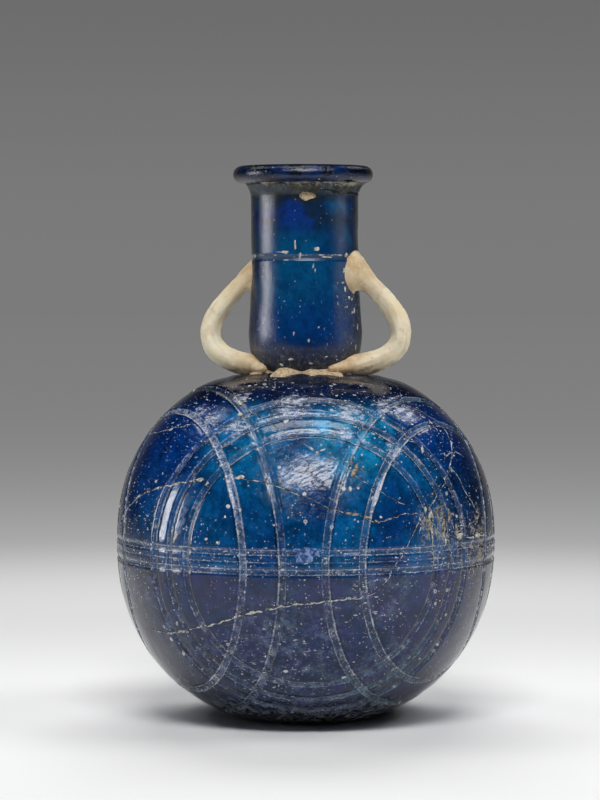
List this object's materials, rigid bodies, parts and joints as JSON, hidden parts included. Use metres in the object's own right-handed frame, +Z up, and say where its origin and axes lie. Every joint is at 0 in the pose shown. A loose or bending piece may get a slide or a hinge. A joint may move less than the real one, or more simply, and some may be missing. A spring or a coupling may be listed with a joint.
{
  "type": "two-handled glass flask",
  "caption": "Globular cobalt blue glass flask with wheel-cut circles, a tubular neck, a folded rim and two looped cream handles.",
  "frame": {"origin": "middle of the flat base, where the flask stands", "axes": "+Z up along the body's and neck's axis; the handles lie to -X and +X; the pictured front is -Y"},
  "size_m": [0.0948, 0.0948, 0.1373],
  "materials": {
    "blue_glass": "glossy, weathered",
    "cream_glass": "satin, opaque"
  },
  "bodies": {
    "root": {"body": "blue_glass", "neck": "blue_glass", "rim": "blue_glass", "handle_left": "cream_glass", "handle_right": "cream_glass"}
  },
  "joints": []
}
